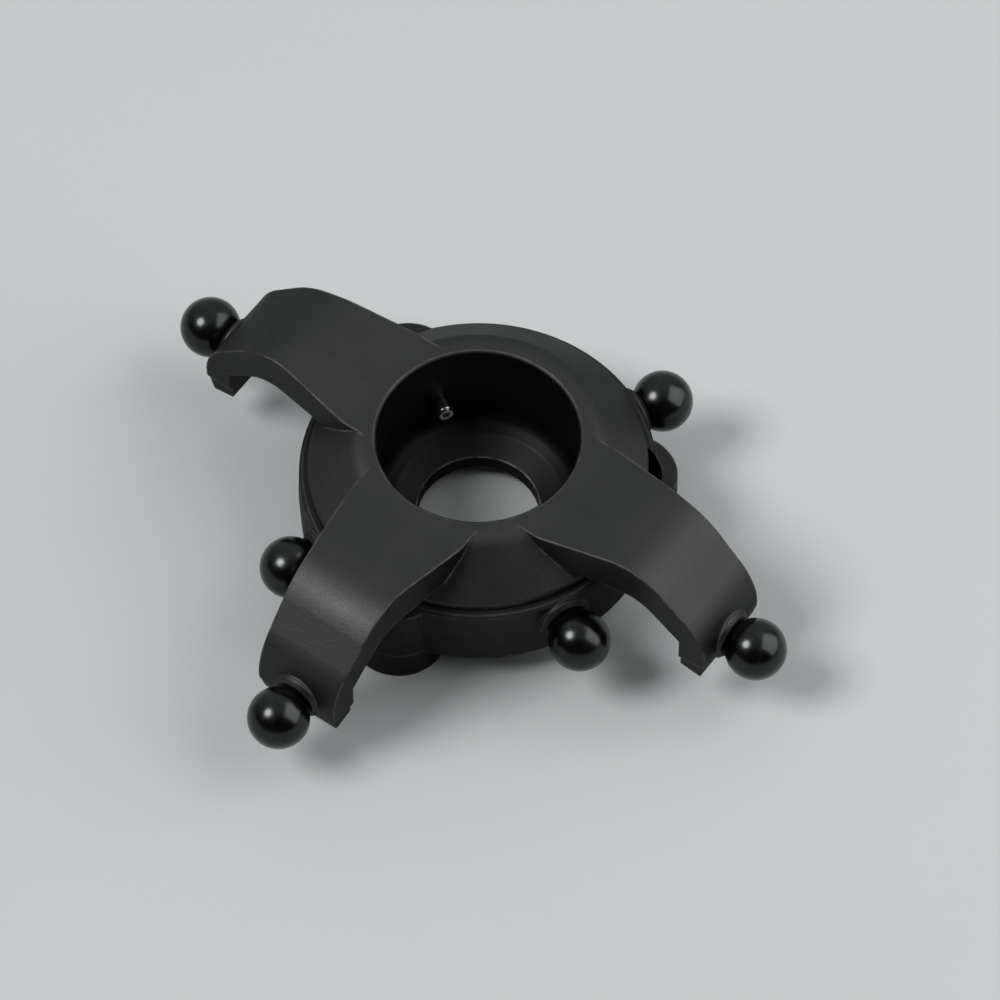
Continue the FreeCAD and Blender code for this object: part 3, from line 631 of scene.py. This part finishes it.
class SWASH_OT_bearing(bpy.types.Operator):
    """Finishes the bearing's races, balls and shields"""

    bl_idname = "swash.bearing"
    bl_label = "Bearing"

    def execute(self, context):
        finishes = context.scene.swash_finishes
        ground = steel_finish("ground_steel", finishes.bright_steel, finishes)
        pressed = steel_finish("pressed_steel", scaled(finishes.bright_steel, 0.8), finishes,
                               rough=(0.28, 0.42), pitch=0.00012)
        wear_material(ground, "outer_race", "inner_race", "bearing_balls")
        wear_material(pressed, "upper_shield", "lower_shield")
        return {"FINISHED"}


class SWASH_OT_fasteners(bpy.types.Operator):
    """Finishes the cover screws, their washers, the snap ring and the guide pin"""

    bl_idname = "swash.fasteners"
    bl_label = "Fasteners"

    def execute(self, context):
        finishes = context.scene.swash_finishes
        black = steel_finish("blacked_steel", finishes.black_oxide, finishes, rough=(0.25, 0.4))
        spring = steel_finish("spring_steel", scaled(finishes.black_oxide, 2.2), finishes,
                              rough=(0.3, 0.45))
        bright = steel_finish("pin_steel", finishes.pin_steel, finishes, rough=(0.15, 0.28))
        wear_material(black, *numbered("cover_screw"))
        wear_material(spring, "hub_snap_ring")
        wear_material(bright, "guide_pin", *numbered("screw_washer"))
        return {"FINISHED"}


class SWASH_OT_link_balls(bpy.types.Operator):
    """Turns the six threaded link balls"""

    bl_idname = "swash.link_balls"
    bl_label = "Link Balls"

    def execute(self, context):
        sizes = context.scene.swash_link_balls
        oxide = oxide_finish("polished_oxide", context.scene.swash_finishes.black_oxide)
        for carrier, shoulder_start in SHOULDER_STARTS.items():
            for stud in numbered(f"{carrier}_ball_stud"):
                number = stud[-1]
                mount = MOUNTS[f"{carrier}_ball_{number}"]
                tip = -shank_length(NODES[stud], mount["pos_m"], mount["axis"])
                points, faces = link_ball_surface(sizes, shoulder_start, tip)
                points = aimed(points, mount["pos_m"], mount["axis"])
                piece = new_piece(f"link_ball_{carrier}_{number}", points, faces,
                                  NODES[stud]["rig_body"])
                piece.data.materials.append(oxide)
                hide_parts(stud)
        return {"FINISHED"}


class SWASH_OT_stage(bpy.types.Operator):
    """Sets the floor, the soft lamps and the camera"""

    bl_idname = "swash.stage"
    bl_label = "Stage"

    def execute(self, context):
        stage = context.scene.swash_stage
        self.add_floor(stage)
        for name, azimuth, elevation, distance, width, power, shape in LAMPS:
            self.add_lamp(name, np.radians(azimuth), np.radians(elevation), distance,
                          width, power, shape)
        self.add_world(context.scene, stage)
        self.add_camera(context.scene, stage)
        context.scene.view_settings.view_transform = "Standard"
        return {"FINISHED"}

    def add_floor(self, stage):
        """A square floor that the feet stand on: corners at half its width either way."""
        half = stage.floor_size / 2
        level = CAD_BOX[0][2]
        corners = [(-half, -half, level), (half, -half, level), (half, half, level),
                   (-half, half, level)]
        mesh = bpy.data.meshes.new("floor")
        mesh.from_pydata(corners, [], [(0, 1, 2, 3)])
        floor = bpy.data.objects.new("floor", mesh)
        bpy.context.scene.collection.objects.link(floor)
        mesh.materials.append(floor_finish("pale_card", stage.floor_colour))

    def add_lamp(self, name, azimuth, elevation, distance, width, power, shape):
        """A flat lamp on a sphere about the origin, turned to face it."""
        lamp = bpy.data.lights.new(name, "AREA")
        lamp.shape, lamp.size, lamp.energy = shape, width, power
        holder = bpy.data.objects.new(name, lamp)
        bpy.context.scene.collection.objects.link(holder)
        level = np.cos(elevation)
        direction = Vector((np.cos(azimuth) * level, np.sin(azimuth) * level, np.sin(elevation)))
        holder.location = direction * distance
        holder.rotation_euler = direction.to_track_quat("Z", "Y").to_euler()

    def add_world(self, scene, stage):
        """Soft light from all round, brightest above and behind the part."""
        brightest_side = (-0.44, 0.61, 0.66)
        dim, bright = 0.2, 3.2
        colour = (0.94, 0.985, 1.0, 1.0)
        world = bpy.data.worlds.new("soft_room")
        scene.world = world
        world.use_nodes = True
        tree = world.node_tree
        tree.nodes.clear()
        direction = wire(tree, "ShaderNodeTexCoord").outputs["Generated"]
        behind = wire(tree, "ShaderNodeVectorMath", {0: direction, 1: brightest_side},
                      operation="DOT_PRODUCT").outputs["Value"]
        strength = math_node(tree, "MULTIPLY", ranged(tree, behind, 0.05, 1.0, dim, bright),
                             stage.ambient)
        glow = wire(tree, "ShaderNodeBackground", {"Color": colour, "Strength": strength})
        out = wire(tree, "ShaderNodeOutputWorld")
        tree.links.new(glow.outputs["Background"], out.inputs["Surface"])

    def add_camera(self, scene, stage):
        """A camera at the set angle, with the point it looks at in the middle."""
        sensor_width = 36.0
        nearest, farthest = 0.01, 20.0
        lens = bpy.data.cameras.new("camera")
        lens.lens, lens.sensor_width = stage.lens, sensor_width
        lens.clip_start, lens.clip_end = nearest, farthest
        camera = bpy.data.objects.new("camera", lens)
        scene.collection.objects.link(camera)
        level = np.cos(stage.elevation)
        back = Vector((np.sin(stage.azimuth) * level, -np.cos(stage.azimuth) * level,
                       np.sin(stage.elevation)))
        right = Vector((np.cos(stage.azimuth), np.sin(stage.azimuth), 0.0))
        axes = Matrix((right, back.cross(right), back)).transposed().to_4x4()
        camera.matrix_world = (Matrix.Translation(Vector(stage.look_at) + back * stage.distance)
                               @ axes @ Matrix.Rotation(stage.roll, 4, "Z"))
        scene.camera = camera


class SWASH_PT_panel(bpy.types.Panel):
    """Lists the dresser's steps and sizes"""

    bl_idname = "SWASH_PT_panel"
    bl_label = "Swashplate"
    bl_space_type = "VIEW_3D"
    bl_region_type = "UI"
    bl_category = "Swashplate"

    def draw(self, context):
        for operator in STEPS:
            self.layout.operator(operator.bl_idname)
        for settings in (context.scene.swash_link_balls, context.scene.swash_finishes,
                         context.scene.swash_stage):
            box = self.layout.box()
            for name in settings.__annotations__:
                box.prop(settings, name)


STEPS = (SWASH_OT_effects, SWASH_OT_mouldings, SWASH_OT_bearing, SWASH_OT_fasteners,
         SWASH_OT_link_balls, SWASH_OT_stage)
SETTINGS = {"swash_link_balls": LinkBallSizes, "swash_finishes": FinishColours,
            "swash_stage": StageSettings}


def register():
    for group in (*SETTINGS.values(), *STEPS, SWASH_PT_panel):
        bpy.utils.register_class(group)
    for name, group in SETTINGS.items():
        setattr(bpy.types.Scene, name, PointerProperty(type=group))


def unregister():
    for name in SETTINGS:
        delattr(bpy.types.Scene, name)
    for group in reversed((*SETTINGS.values(), *STEPS, SWASH_PT_panel)):
        bpy.utils.unregister_class(group)


def main():
    register()
    bpy.ops.swash.effects()
    bpy.ops.swash.mouldings()
    bpy.ops.swash.bearing()
    bpy.ops.swash.fasteners()
    bpy.ops.swash.link_balls()
    bpy.ops.swash.stage()


if __name__ == "__main__":
    main()
